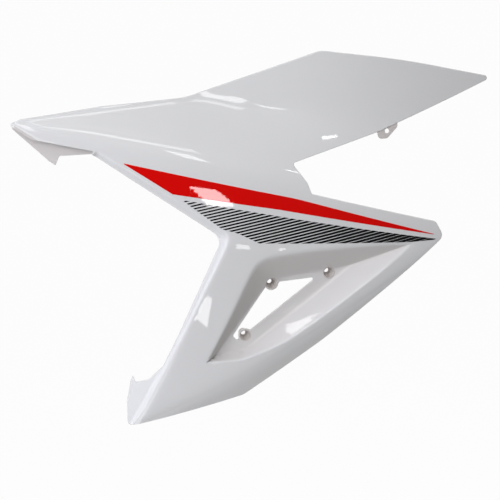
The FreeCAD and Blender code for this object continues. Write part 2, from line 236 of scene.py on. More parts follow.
def beak_bevel_depth(x, z):
    """Extra depth of the narrow bevel along the beak's lower edge, which fades out toward its heel."""
    low_edge = -left_of(beak_heel, beak_low, x, z)
    front_edge = -left_of(beak_low, beak_tip, x, z)
    low_share = np.clip((x - bevel_start) / (beak_low[0] - bevel_start), 0.0, 1.0)
    front_share = np.clip((beak_low[0] + bevel_fade - x) / bevel_fade, 0.0, 1.0)
    low_bevel = low_share * ramp(0.5 * bevel_width - low_edge, bevel_blend)
    front_bevel = front_share * ramp(bevel_width - front_edge, bevel_blend)
    return bevel_slope * np.maximum(front_bevel, low_bevel)


def scoop_wall_depth(index, x, z):
    """Depth of one ruled wall of the scoop, by halving its share of the way from plate to mouth."""
    following = (index + 1) % len(plate_corners)
    halvings = 28
    least_share = -0.8
    most_share = 2.6
    low = np.full_like(x, least_share)
    high = np.full_like(x, most_share)
    for _ in range(halvings):
        share = 0.5 * (low + high)
        ends = []
        for corner in (index, following):
            floor, mouth = plate_corners[corner], mouth_corners[corner]
            ends.append([a + (b - a) * share for a, b in zip(floor, mouth)])
        (ax, az), (bx, bz) = ends
        outside = (bx - ax) * (z - az) - (bz - az) * (x - ax) > 0.0
        low = np.where(outside, share, low)
        high = np.where(outside, high, share)
    return -screw_seat_depth - mouth_depth * 0.5 * (low + high)


def folded_depth(x, z):
    """Depth of the outer face with its folded edges, before the scoop is let in."""
    return skin_depth(x, z) + turned_edge_depth(x, z) + beak_bevel_depth(x, z)


def scoop_depths(x, z):
    """Depth of the scoop's upper walls and of its lower walls, each with the plate at their foot."""
    walls = [scoop_wall_depth(index, x, z) for index in range(len(plate_corners))]
    plate = np.full_like(x, -screw_seat_depth)
    upper = lower_of(walls[0], walls[1], upper_wall_blend)
    lower = lower_of(lower_of(walls[2], walls[3], lower_wall_blend), walls[4], lower_wall_blend)
    return lower_of(upper, plate, upper_foot_blend), lower_of(lower, plate, lower_foot_blend)


def face_depth(x, z):
    """Depth of the whole outer face, with the folded edges and the scoop."""
    upper, lower = scoop_depths(x, z)
    return higher_of(folded_depth(x, z), lower_of(upper, lower, mouth_blend), mouth_blend)


# How far the clear coat thins out in the scoop, as a share, and the depths over which the share changes.
# The same share turns the colour to the darker, warmer bare colour: painted shade in the recess, strongest
# on the upper walls that face down.
bare_and_shade_on_upper_walls = 0.7
bare_and_shade_on_lower_walls = 0.4
bare_and_shade_on_plate = 0.35
bare_and_shade_mouth_fade = 3.0
bare_and_shade_wall_fade = 4.0
bare_and_shade_plate_fade = 1.5


def bare_and_shade_share(x, z):
    """Share of thinned coat and darker painted shade: none on the skin, and in the scoop that of the wall
    or the plate.
    """
    upper, lower = scoop_depths(x, z)
    scoop = np.minimum(upper, lower)
    let_in = np.clip((scoop - folded_depth(x, z)) / bare_and_shade_mouth_fade, 0.0, 1.0)
    on_plate = np.minimum(np.exp((scoop + screw_seat_depth) / bare_and_shade_plate_fade), 1.0)
    on_lower = np.clip((upper - lower) / bare_and_shade_wall_fade, 0.0, 1.0)
    on_walls = bare_and_shade_on_upper_walls + (bare_and_shade_on_lower_walls - bare_and_shade_on_upper_walls) * on_lower
    return let_in * (on_walls + (bare_and_shade_on_plate - on_walls) * on_plate)


def rounded_loop(corners, spacing):
    """Points round an outline, with an arc at every corner."""
    most_of_edge = 0.45
    widest_step = 0.3
    least_gap = 0.05
    points = [np.array(corner[:2]) for corner in corners]
    stops = []
    for index, corner in enumerate(corners):
        here = points[index]
        back = points[index - 1] - here
        ahead = points[(index + 1) % len(points)] - here
        back_length = np.hypot(*back)
        ahead_length = np.hypot(*ahead)
        back = back / back_length
        ahead = ahead / ahead_length
        half = 0.5 * math.acos(np.clip(back @ ahead, -1.0, 1.0))
        reach = min(corner[2] / math.tan(half), most_of_edge * back_length, most_of_edge * ahead_length)
        radius = reach * math.tan(half)
        middle = (back + ahead) / np.hypot(*(back + ahead))
        centre = here + middle * radius / math.sin(half)
        start = here + back * reach - centre
        end = here + ahead * reach - centre
        swing = math.atan2(start[0] * end[1] - start[1] * end[0], start @ end)
        steps = max(2, int(math.ceil(abs(swing) * radius / spacing)), int(abs(swing) / widest_step))
        turn = np.linspace(0.0, swing, steps + 1)
        stops.append(np.stack([
            centre[0] + start[0] * np.cos(turn) - start[1] * np.sin(turn),
            centre[1] + start[0] * np.sin(turn) + start[1] * np.cos(turn)], 1))
    loop = []
    for index, arc in enumerate(stops):
        before = stops[index - 1][-1]
        length = np.hypot(*(arc[0] - before))
        steps = int(length / spacing)
        loop += [before + (arc[0] - before) * step / (steps + 1.0) for step in range(1, steps + 1)]
        loop += list(arc)
    loop = np.array(loop)
    apart = np.hypot(*(loop - np.roll(loop, 1, 0)).T) > least_gap
    return loop[apart]


def signed_area(loop):
    after = np.roll(loop, -1, 0)
    return 0.5 * np.sum(loop[:, 0] * after[:, 1] - after[:, 0] * loop[:, 1])


def turned(loop, anticlockwise):
    """The loop itself or its reverse, so that it runs the way that is asked for."""
    return loop if (signed_area(loop) > 0.0) == anticlockwise else loop[::-1]


def ring(centre, radius, count):
    turn = np.arange(count) * 2.0 * math.pi / count
    return np.stack([centre[0] + radius * np.cos(turn), centre[1] + radius * np.sin(turn)], 1)


def inside(points, loop):
    """True for the points inside a loop, by counting the edges that a line from each one crosses."""
    result = np.zeros(len(points), bool)
    before = np.roll(loop, 1, 0)
    for (ax, az), (bx, bz) in zip(before, loop):
        if az == bz:
            continue
        crossing = (points[:, 1] > az) != (points[:, 1] > bz)
        result ^= crossing & (points[:, 0] < ax + (bx - ax) * (points[:, 1] - az) / (bz - az))
    return result


def within(points, loops):
    """True for the points inside the first loop and outside the others."""
    result = inside(points, loops[0])
    for hole in loops[1:]:
        result &= ~inside(points, hole)
    return result


def clearance(points, loop):
    """Distance from each point to a loop's edges."""
    nearest = np.full(len(points), 1e9)
    before = np.roll(loop, 1, 0)
    for start, end in zip(before, loop):
        along = end - start
        share = np.clip((points - start) @ along / (along @ along), 0.0, 1.0)
        gap = points - start - share[:, None] * along
        nearest = np.minimum(nearest, np.hypot(gap[:, 0], gap[:, 1]))
    return nearest


def loop_outward(loop):
    """Outward direction at each point of a loop that keeps the material on its left."""
    along = np.roll(loop, -1, 0) - np.roll(loop, 1, 0)
    along = along / np.maximum(np.hypot(along[:, 0], along[:, 1]), 1e-9)[:, None]
    return np.stack([along[:, 1], -along[:, 0]], 1)


def grid_points(loop, pitch):
    """Points of an even three-cornered grid over the box round a loop."""
    low = np.min(loop, 0)
    high = np.max(loop, 0)
    row_pitch = pitch * 0.866
    rows = []
    for index, z in enumerate(np.arange(low[1], high[1], row_pitch)):
        x = np.arange(low[0] + (index % 2) * pitch / 2.0, high[0], pitch)
        rows.append(np.stack([x, np.full_like(x, z)], 1))
    return np.concatenate(rows)


def bend(depth, points):
    """How sharply a face bends at each point."""
    step = 1.0
    x, z = points.T
    around = depth(x + step, z) + depth(x - step, z) + depth(x, z + step) + depth(x, z - step)
    return np.abs(around - 4.0 * depth(x, z)) / step ** 2


def filling_points(loop, depth, pitch, fine_pitch):
    """Coarse grid over a loop, with a fine one in its place where the face bends sharply."""
    sharp_bend = 0.05
    coarse = grid_points(loop, pitch)
    fine = grid_points(loop, fine_pitch)
    is_sharp = bend(depth, coarse) > sharp_bend
    return np.concatenate([coarse[~is_sharp], fine[bend(depth, fine) > sharp_bend]])


def face_normals(depth, points):
    """Outward direction of a face at each point."""
    step = 0.05
    x, z = points.T
    slope_x = (depth(x + step, z) - depth(x - step, z)) / (2.0 * step)
    slope_z = (depth(x, z + step) - depth(x, z - step)) / (2.0 * step)
    normals = np.stack([slope_x, -np.ones_like(x), slope_z], 1)
    return normals / np.linalg.norm(normals, axis=1)[:, None]


def triangulated(flat, edges, loops):
    """Triangles between flat points, within the loops and along the edges, all turned the same way."""
    closest = 1e-6
    least_area = 1e-5
    result = delaunay_2d_cdt([Vector(point) for point in flat], edges, [], 0, closest)
    first_source = np.array([sources[0] if sources else -1 for sources in result[3]])
    triangles = first_source[np.array(result[2])]
    triangles = triangles[(triangles >= 0).all(1)]
    triangles = triangles[within(flat[triangles].mean(1), loops)]
    a, b, c = (flat[triangles[:, corner]] for corner in range(3))
    area = (b[:, 0] - a[:, 0]) * (c[:, 1] - a[:, 1]) - (b[:, 1] - a[:, 1]) * (c[:, 0] - a[:, 0])
    triangles[area < 0.0] = triangles[area < 0.0][:, ::-1]
    return triangles[np.abs(area) > least_area]


def sheet(loops, depth, thickness, pitch, fine_pitch, rounding, open_loops=()):
    """Closed sheet over an outline with holes.

    Gives its points, normals and faces, the index of every loop and the number of points on its front.
    The loops in open_loops get no side wall and no rounding, so that something else can be joined on."""
    round_shares = (0.3, 1.0)
    least_filling_gap = rounding + 0.35 * fine_pitch
    least_round_gap = 0.22 * rounding
    most_lean = 2.3
    most_back_drop = 0.3 * thickness

    # Points on the loops themselves.
    drops = []
    outward = []
    loop_index = []
    count = 0
    for number, loop in enumerate(loops):
        loop_index.append(np.arange(count, count + len(loop)))
        count += len(loop)
        rounded = rounding if number not in open_loops else 0.0
        drops.append(np.full(len(loop), rounded))
        outward.append(loop_outward(loop) if rounded else np.zeros_like(loop))
    edges = [
        (int(first), int(second))
        for index in loop_index
        for first, second in zip(index, np.roll(index, -1))
    ]

    # Rings beside the loops for the rounded edge, and a grid that fills the rest.
    extra = []
    extra_drop = []
    extra_outward = []
    for number, loop in enumerate(loops):
        if number in open_loops or rounding == 0.0:
            continue
        side = loop_outward(loop)
        for share in round_shares:
            extra.append(loop - side * rounding * share)
            extra_drop.append(np.full(len(loop), rounding * (1.0 - math.sqrt(1.0 - (1.0 - share) ** 2))))
            extra_outward.append(side * (1.0 - share))
    filling = filling_points(loops[0], depth, pitch, fine_pitch)
    extra = np.concatenate(extra + [filling])
    extra_drop = np.concatenate(extra_drop + [np.zeros(len(filling))])
    extra_outward = np.concatenate(extra_outward + [np.zeros_like(filling)])
    keep = within(extra, loops)
    is_filling = np.arange(len(extra)) >= len(extra) - len(filling)
    for loop in loops:
        keep &= clearance(extra, loop) > np.where(is_filling, least_filling_gap, least_round_gap)
    flat = np.concatenate(loops + [extra[keep]])
    drop = np.concatenate(drops + [extra_drop[keep]])
    side = np.concatenate(outward + [extra_outward[keep]])
    triangles = triangulated(flat, edges, loops)

    # Front and back of the sheet, with their normals turned outward round the edge.
    x, z = flat.T
    normal = face_normals(depth, flat)
    front_y = depth(x, z) + drop
    lean = np.minimum(1.0 / np.maximum(-normal[:, 1], 1e-6), most_lean)
    back_y = depth(x, z) + thickness * lean - np.minimum(drop, most_back_drop)
    flat_side = np.stack([side[:, 0], np.zeros(len(side)), side[:, 1]], 1)
    upright = np.sqrt(np.maximum(1.0 - np.sum(side ** 2, 1), 0.0))[:, None]

    # Faces of the front, the back and the side walls.
    total = len(flat)
    faces = [tuple(triangle) for triangle in triangles]
    faces += [tuple(triangle[::-1] + total) for triangle in triangles]
    for number, index in enumerate(loop_index):
        if number in open_loops:
            continue
        for first, second in zip(index, np.roll(index, -1)):
            faces.append((first, first + total, second + total, second))
    places = np.concatenate([np.stack([x, front_y, z], 1), np.stack([x, back_y, z], 1)])
    normals = np.concatenate([normal * upright + flat_side, flat_side - normal * upright])
    return places, normals, faces, loop_index, total


def screw_cup(sheet_parts, number, centre):
    """Joins a screw cup's rim, well, floor, hole and outside to an open loop of the sheet.

    Each ring of the profile has its radius, its depth and the outward and inward parts of its normal."""
    places, normals, faces, loop_index, total = sheet_parts
    loop = loop_index[number]
    front = -screw_seat_depth - cup_rim
    lip = 0.3
    fillet = 0.4
    back_round = 0.5
    well_lean = 0.05
    profile = [
        (cup_outer_radius - lip, front, 0.5, -0.87), (cup_radius + lip, front, -0.4, -0.92),
        (cup_radius, front + fillet, -1.0, -0.15),
        (cup_floor_radius + well_lean, -back_round, -1.0, -0.15),
        (cup_floor_radius - fillet, 0.0, -0.1, -1.0), (screw_radius + lip, 0.0, -0.2, -1.0),
        (screw_radius, lip, -1.0, -0.1), (screw_radius, cup_floor - lip, -1.0, 0.1),
        (screw_radius + lip, cup_floor, -0.2, 1.0), (cup_back_radius - back_round, cup_floor, 0.2, 1.0),
        (cup_back_radius, cup_floor - back_round, 1.0, 0.15),
    ]
    spokes = places[loop][:, [0, 2]] - np.array(centre)
    spokes = spokes / np.hypot(spokes[:, 0], spokes[:, 1])[:, None]
    count = len(loop)
    rings = [loop]
    for radius, y, out, along in profile:
        start = len(places)
        rings.append(np.arange(start, start + count))
        spot = np.array(centre) + spokes * radius
        places = np.concatenate([places, np.stack([spot[:, 0], np.full(count, y), spot[:, 1]], 1)])
        lean = np.stack([spokes[:, 0] * out, np.full(count, along), spokes[:, 1] * out], 1)
        normals = np.concatenate([normals, lean / np.linalg.norm(lean, axis=1)[:, None]])
    rings.append(loop + total)
    for outer, inner in zip(rings[:-1], rings[1:]):
        for here, after in zip(range(count), np.roll(np.arange(count), -1)):
            faces.append((outer[here], inner[here], inner[after], outer[after]))
    return places, normals, faces, loop_index, total


def opening_loop():
    """The plate's three-cornered opening, with the round lobes of two screw cups left standing."""
    spacing = 1.6
    arc_steps = 13
    triangle = turned(rounded_loop(opening_corners, spacing), False)
    for centre in cup_centres[:2]:
        away = triangle - np.array(centre)
        gap = np.hypot(away[:, 0], away[:, 1])
        first_out = int(np.argmax((gap > lobe_radius) & (np.roll(gap, 1) <= lobe_radius)))
        triangle = np.roll(triangle, -first_out, 0)
        away = triangle - np.array(centre)
        outside = np.hypot(away[:, 0], away[:, 1]) > lobe_radius
        pieces = triangle[outside]
        start = pieces[-1] - np.array(centre)
        end = pieces[0] - np.array(centre)
        swing = math.atan2(start[0] * end[1] - start[1] * end[0], start @ end)
        if swing < 0.0:
            swing += 2.0 * math.pi
        angle = math.atan2(start[1], start[0]) + np.linspace(0.0, swing, arc_steps + 1)[1:-1]
        arc = np.array(centre) + lobe_radius * np.stack([np.cos(angle), np.sin(angle)], 1)
        triangle = np.concatenate([pieces, arc])
    return turned(triangle, False)


def mesh_object(name, places, normals, faces, material):
    """Smooth object from points in millimetres, with their normals."""
    mesh = bpy.data.meshes.new(name)
    mesh.from_pydata((places * mm).tolist(), [], [[int(corner) for corner in face] for face in faces])
    mesh.validate(clean_customdata=False)
    mesh.polygons.foreach_set("use_smooth", np.ones(len(mesh.polygons), bool))
    length = np.maximum(np.linalg.norm(normals, axis=1), 1e-9)[:, None]
    mesh.normals_split_custom_set_from_vertices((normals / length).tolist())
    mesh.materials.append(material)
    made = bpy.data.objects.new(name, mesh)
    bpy.context.scene.collection.objects.link(made)
    return made


def gloss_finish_group():
    """Gloss coating: faint cloudiness of colour and gloss, and the fine ripple of a sprayed clear coat."""
    group = bpy.data.node_groups.new("gloss coating", "ShaderNodeTree")
    group.interface.new_socket("Colour", in_out="INPUT", socket_type="NodeSocketColor")
    group.interface.new_socket("Bare and shade colour", in_out="INPUT", socket_type="NodeSocketColor")
    values = {"Roughness": 0.08, "Bare roughness": 0.5, "Cloudiness": 0.03, "Ripple size": 260.0}
    for name, value in values.items():
        socket = group.interface.new_socket(name, in_out="INPUT", socket_type="NodeSocketFloat")
        socket.default_value = value
    group.interface.new_socket("Colour", in_out="OUTPUT", socket_type="NodeSocketColor")
    for name in ("Roughness", "Coat", "Height"):
        group.interface.new_socket(name, in_out="OUTPUT", socket_type="NodeSocketFloat")
    nodes, links = group.nodes, group.links
    given = nodes.new("NodeGroupInput")
    out = nodes.new("NodeGroupOutput")
    place = nodes.new("ShaderNodeTexCoord")
    bare_and_painted_shade = nodes.new("ShaderNodeAttribute")
    bare_and_painted_shade.attribute_name = "bare_and_painted_shade"
    cloud = nodes.new("ShaderNodeTexNoise")
    cloud.inputs["Scale"].default_value = 14.0
    cloud.inputs["Detail"].default_value = 3.0
    links.new(place.outputs["Object"], cloud.inputs["Vector"])
    centred = nodes.new("ShaderNodeMath")
    centred.operation = "SUBTRACT"
    links.new(cloud.outputs["Fac"], centred.inputs[0])
    centred.inputs[1].default_value = 0.5
    amount = nodes.new("ShaderNodeMath")
    amount.operation = "MULTIPLY"
    links.new(centred.outputs[0], amount.inputs[0])
    links.new(given.outputs["Cloudiness"], amount.inputs[1])
    factor = nodes.new("ShaderNodeMath")
    factor.operation = "ADD"
    links.new(amount.outputs[0], factor.inputs[0])
    factor.inputs[1].default_value = 1.0
    # Where the mesh is marked, the colour turns to the darker bare colour: uncoated plastic on the back
    # and in the cups, painted shade in the scoop and under the beak.
    ground = nodes.new("ShaderNodeMix")
    ground.data_type = "RGBA"
    links.new(bare_and_painted_shade.outputs["Fac"], ground.inputs["Factor"])
    links.new(given.outputs["Colour"], ground.inputs["A"])
    links.new(given.outputs["Bare and shade colour"], ground.inputs["B"])
    tint = nodes.new("ShaderNodeVectorMath")
    tint.operation = "SCALE"
    links.new(ground.outputs["Result"], tint.inputs[0])
    links.new(factor.outputs[0], tint.inputs["Scale"])
    links.new(tint.outputs["Vector"], out.inputs["Colour"])
    base = nodes.new("ShaderNodeMix")
    links.new(bare_and_painted_shade.outputs["Fac"], base.inputs["Factor"])
    links.new(given.outputs["Roughness"], base.inputs["A"])
    links.new(given.outputs["Bare roughness"], base.inputs["B"])
    gloss = nodes.new("ShaderNodeMath")
    gloss.operation = "MULTIPLY"
    links.new(base.outputs["Result"], gloss.inputs[0])
    links.new(factor.outputs[0], gloss.inputs[1])
    links.new(gloss.outputs[0], out.inputs["Roughness"])
    coat = nodes.new("ShaderNodeMath")
    coat.operation = "SUBTRACT"
    coat.inputs[0].default_value = 1.0
    links.new(bare_and_painted_shade.outputs["Fac"], coat.inputs[1])
    links.new(coat.outputs[0], out.inputs["Coat"])
    ripple = nodes.new("ShaderNodeTexNoise")
    ripple.inputs["Detail"].default_value = 1.0
    links.new(place.outputs["Object"], ripple.inputs["Vector"])
    links.new(given.outputs["Ripple size"], ripple.inputs["Scale"])
    links.new(ripple.outputs["Fac"], out.inputs["Height"])
    return group


gloss_finish = gloss_finish_group()


def gloss_material(name, colour, roughness, cloudiness, ripple_height, under_gloss, bare_and_shade_colour=None):
    """Clear-coated finish; with a second colour, the coat thins out and the colour turns to it where the
    mesh is so marked, as uncoated plastic and as painted shade.
    """
    material = bpy.data.materials.new(name)
    material.use_nodes = True
    nodes, links = material.node_tree.nodes, material.node_tree.links
    shader = nodes["Principled BSDF"]
    finish = nodes.new("ShaderNodeGroup")
    finish.node_tree = gloss_finish
    finish.inputs["Colour"].default_value = (*colour, 1.0)
    finish.inputs["Bare and shade colour"].default_value = (*(bare_and_shade_colour or colour), 1.0)
    finish.inputs["Roughness"].default_value = roughness
    finish.inputs["Cloudiness"].default_value = cloudiness
    links.new(finish.outputs["Colour"], shader.inputs["Base Color"])
    links.new(finish.outputs["Roughness"], shader.inputs["Roughness"])
    ripple = nodes.new("ShaderNodeBump")
    ripple.inputs["Strength"].default_value = ripple_height
    ripple.inputs["Distance"].default_value = 0.0002
    links.new(finish.outputs["Height"], ripple.inputs["Height"])
    links.new(ripple.outputs["Normal"], shader.inputs["Normal"])
    shader.inputs["Coat Weight"].default_value = 1.0
    if bare_and_shade_colour:
        links.new(finish.outputs["Coat"], shader.inputs["Coat Weight"])
    shader.inputs["Coat Roughness"].default_value = 0.02
    shader.inputs["IOR"].default_value = 1.5
    shader.inputs["Specular IOR Level"].default_value = under_gloss
    return material


white = (0.80, 0.80, 0.81)
# The darker, warmer colour of uncoated plastic, which also serves as painted shade in the scoop and on the
# flange under the beak.
bare_and_shaded_white = (0.67, 0.63, 0.615)
white_plastic = gloss_material(
    "clear-coated white plastic", white, roughness=0.3, cloudiness=0.03, ripple_height=0.05,
    under_gloss=0.15, bare_and_shade_colour=bare_and_shaded_white,
)

panel_outline = turned(rounded_loop(panel_corners, spacing=2.6), True)
cup_loops = [turned(ring(centre, cup_outer_radius, count=44), False) for centre in cup_centres]
solid_loops = [panel_outline, opening_loop()]
cup_numbers = range(len(solid_loops), len(solid_loops) + len(cup_loops))
panel_parts = sheet(
    solid_loops + cup_loops, face_depth, wall, pitch=4.0, fine_pitch=1.5, rounding=edge_round,
    open_loops=cup_numbers,
)
for number, centre in zip(cup_numbers, cup_centres):
    panel_parts = screw_cup(panel_parts, number, centre)
panel_places, panel_normals, panel_faces, loop_index, front_count = panel_parts

# The back and the cups are bare plastic, and the coat runs round the outline's edge, whose lighter colour
# there is also painted light that keeps the rim bright.
panel_bare_and_shade = np.ones(len(panel_places))
panel_bare_and_shade[:front_count] = bare_and_shade_share(panel_places[:front_count, 0], panel_places[:front_count, 2])
panel_bare_and_shade[front_count + loop_index[0]] = 0.0

# The tab under the blade's lower edge stands a little behind the outer face and carries a screw hole.
tab_corners = [
    (124.0, 184.0, 2.0), (130.0, 161.0, 3.5), (140.0, 161.0, 5.0), (154.0, 173.0, 3.0),
    (154.0, 192.0, 2.0),
]
tab_hole_centre = (140.5, 169.0)
tab_set_back = 1.2


def behind_skin(offset):
    """Depth of the face that lies the offset behind the bare outer face, measured square to it."""
    def depth(x, z):
        normal = face_normals(skin_depth, np.stack([x, z], 1))
        return skin_depth(x, z) - offset / normal[:, 1]
    return depth


tab_outline = turned(rounded_loop(tab_corners, spacing=1.5), True)
tab_hole = turned(ring(tab_hole_centre, screw_radius, count=28), False)
tab_loops = [tab_outline, tab_hole]
tab_parts = sheet(tab_loops, behind_skin(tab_set_back), wall, pitch=2.5, fine_pitch=2.5, rounding=0.4)

# A flange with a hooked tooth is stepped back under the beak, on a rib along the beak's lower edge.
beak_step = 9.0
rib_root = 0.8
flange_corners = [
    (-290.5, 186.5, 1.5), (-250.0, 149.5, 1.5), (-244.0, 145.5, 1.0), (-239.5, 156.0, 3.0),
    (-203.0, 158.0, 2.0), (-197.0, 163.0, 1.0), (-199.6, 163.5, 0.5), (-269.5, 177.0, 0.5),
    (-289.0, 189.8, 0.5),
]
rib_corners = [
    (-201.0, 162.5, 0.2), (-269.9, 175.8, 1.0), (-289.5, 188.6, 0.3), (-288.0, 190.7, 0.3),
    (-268.9, 178.3, 1.0), (-200.5, 165.0, 0.2),
]
flange_outline = turned(rounded_loop(flange_corners, spacing=1.5), True)
flange_parts = sheet(
    [flange_outline], behind_skin(beak_step), wall, pitch=3.0, fine_pitch=3.0, rounding=0.5,
)
rib_outline = turned(rounded_loop(rib_corners, spacing=1.5), True)
rib_depth = beak_step + 0.5 * wall - rib_root
rib_parts = sheet(
    [rib_outline], behind_skin(rib_root), rib_depth, pitch=3.0, fine_pitch=3.0, rounding=0.0,
)

# The tab is bare plastic; the flange and its rib under the beak are partly bare, and their share is raised
# further as painted shade that darkens them.
tab_bare = 1.0
flange_bare_and_shade = 0.8
for (places, normals, faces), share in (
    (tab_parts[:3], tab_bare), (flange_parts[:3], flange_bare_and_shade), (rib_parts[:3], flange_bare_and_shade),
):
    panel_faces = panel_faces + [tuple(corner + len(panel_places) for corner in face) for face in faces]
    panel_places = np.concatenate([panel_places, places])
    panel_normals = np.concatenate([panel_normals, normals])
    panel_bare_and_shade = np.concatenate([panel_bare_and_shade, np.full(len(places), share)])

# Points that no face uses are dropped.
used = np.unique([corner for face in panel_faces for corner in face])
new_index = np.zeros(len(panel_places), int)
new_index[used] = np.arange(len(used))
panel_faces = [tuple(new_index[list(face)]) for face in panel_faces]
panel = mesh_object(
    "moulded_panel_visual", panel_places[used], panel_normals[used], panel_faces, white_plastic,
)
# The mark carries both the uncoated plastic and the painted shade of the scoop and of the beak's flange.
bare_and_shade_mark = panel.data.attributes.new("bare_and_painted_shade", "FLOAT", "POINT")
bare_and_shade_mark.data.foreach_set("value", panel_bare_and_shade[used].astype(np.float32))
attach(panel, "root")
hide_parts("moulded_panel")

# Red stripe
# A long tapered stripe of glossy red film, cut to shape and stuck on the side band under the shoulder.
# It starts in a slanted point behind the beak and runs out to a hair at the tail.

film = 0.15
film_lift = 0.12
film_root = 0.4
film_body = film + film_lift + film_root
stripe_corners = [
    (-172.0, 149.5, 0.4), (25.0, 103.3, 400.0), (194.5, 51.2, 0.3), (4.0, 92.0, 400.0),
    (-117.0, 113.5, 1.5),
]
red = (0.76, 0.0022, 0.0012)
red_film = gloss_material(
    "gloss red film", red, roughness=0.2, cloudiness=0.05, ripple_height=0.04, under_gloss=0.0,
)


def film_depth(x, z):
    """Depth of a film's outer face; its back is let into the panel by the film's root."""
    return skin_depth(x, z) - film - film_lift


stripe_outline = turned(rounded_loop(stripe_corners, spacing=2.5), True)
stripe_parts = sheet([stripe_outline], film_depth, film_body, pitch=3.0, fine_pitch=3.0, rounding=0.08)
stripe = mesh_object("red_stripe_visual", *stripe_parts[:3], red_film)
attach(stripe, "root")
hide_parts("red_stripe")

# Black hatch
# A field of slanting bars of black film, stuck on the side band below the red stripe.
# The bars are an even row of straight strips, wider toward the tail and cut off along the field's outline.

hatch_corners = [
    (-107.0, 107.0, 0.4), (44.0, 76.1, 200.0), (194.5, 46.4, 0.3), (159.0, 46.0, 100.0),
    (-20.0, 54.6, 3.0), (-43.0, 66.5, 6.0), (-62.0, 72.5, 8.0),
]
bar_pitch = 3.42
bar_width_front = 1.5
bar_width_rear = 3.2
bar_angle = math.radians(11.3)
bar_depth = -30.0
black = (0.010, 0.010, 0.011)
black_film = gloss_material(
    "gloss black film", black, roughness=0.2, cloudiness=0.1, ripple_height=0.04, under_gloss=0.0,
)

hatch_outline = turned(rounded_loop(hatch_corners, spacing=2.5), True)
hatch_parts = sheet([hatch_outline], film_depth, film_body, pitch=4.0, fine_pitch=4.0, rounding=0.0)
hatch = mesh_object("black_hatch_visual", *hatch_parts[:3], black_film)


def hatch_tree():
    """An even row of slanting, tapered bars, kept where it lies in the field of the film it is given."""
    tree = bpy.data.node_groups.new("slanting bars", "GeometryNodeTree")
    tree.interface.new_socket("Geometry", in_out="INPUT", socket_type="NodeSocketGeometry")
    for name, kind in (
        ("Bars", "NodeSocketInt"), ("First bar", "NodeSocketVector"), ("Step", "NodeSocketVector"),
        ("Half length", "NodeSocketFloat"), ("Front width", "NodeSocketFloat"),
        ("Rear width", "NodeSocketFloat"), ("Turn", "NodeSocketVector"), ("Finish", "NodeSocketMaterial"),
    ):
        tree.interface.new_socket(name, in_out="INPUT", socket_type=kind)
    tree.interface.new_socket("Geometry", in_out="OUTPUT", socket_type="NodeSocketGeometry")
    nodes, links = tree.nodes, tree.links
    given = nodes.new("NodeGroupInput")
    out = nodes.new("NodeGroupOutput")
    row = nodes.new("GeometryNodeMeshLine")
    links.new(given.outputs["Bars"], row.inputs["Count"])
    links.new(given.outputs["First bar"], row.inputs["Start Location"])
    links.new(given.outputs["Step"], row.inputs["Offset"])
    strip = nodes.new("GeometryNodeMeshCube")
    strip.inputs["Size"].default_value = (2.0, 0.1, 1.0)
    corner = nodes.new("GeometryNodeInputPosition")
    parts = nodes.new("ShaderNodeSeparateXYZ")
    links.new(corner.outputs["Position"], parts.inputs["Vector"])
    width = nodes.new("ShaderNodeMapRange")
    width.inputs["From Min"].default_value = -1.0
    width.inputs["From Max"].default_value = 1.0
    links.new(parts.outputs["X"], width.inputs["Value"])
    links.new(given.outputs["Front width"], width.inputs["To Min"])
    links.new(given.outputs["Rear width"], width.inputs["To Max"])
    scaled = []
    for axis, factor in (("X", given.outputs["Half length"]), ("Z", width.outputs["Result"])):
        product = nodes.new("ShaderNodeMath")
        product.operation = "MULTIPLY"
        links.new(parts.outputs[axis], product.inputs[0])
        links.new(factor, product.inputs[1])
        scaled.append(product.outputs[0])
    moved = nodes.new("ShaderNodeCombineXYZ")
    links.new(scaled[0], moved.inputs["X"])
    links.new(parts.outputs["Y"], moved.inputs["Y"])
    links.new(scaled[1], moved.inputs["Z"])
    taper = nodes.new("GeometryNodeSetPosition")
    links.new(strip.outputs["Mesh"], taper.inputs["Geometry"])
    links.new(moved.outputs["Vector"], taper.inputs["Position"])
    place = nodes.new("GeometryNodeInstanceOnPoints")
    links.new(row.outputs["Mesh"], place.inputs["Points"])
    links.new(taper.outputs["Geometry"], place.inputs["Instance"])
    links.new(given.outputs["Turn"], place.inputs["Rotation"])
    bars = nodes.new("GeometryNodeRealizeInstances")
    links.new(place.outputs["Instances"], bars.inputs["Geometry"])
    cut = nodes.new("GeometryNodeMeshBoolean")
    cut.operation = "INTERSECT"
    links.new(given.outputs["Geometry"], cut.inputs["Mesh 2"])
    links.new(bars.outputs["Geometry"], cut.inputs["Mesh 2"])
    whole = nodes.new("GeometryNodeRealizeInstances")
    links.new(cut.outputs["Mesh"], whole.inputs["Geometry"])
    finish = nodes.new("GeometryNodeSetMaterial")
    links.new(whole.outputs["Geometry"], finish.inputs["Geometry"])
    links.new(given.outputs["Finish"], finish.inputs["Material"])
    links.new(finish.outputs["Geometry"], out.inputs["Geometry"])
    return tree


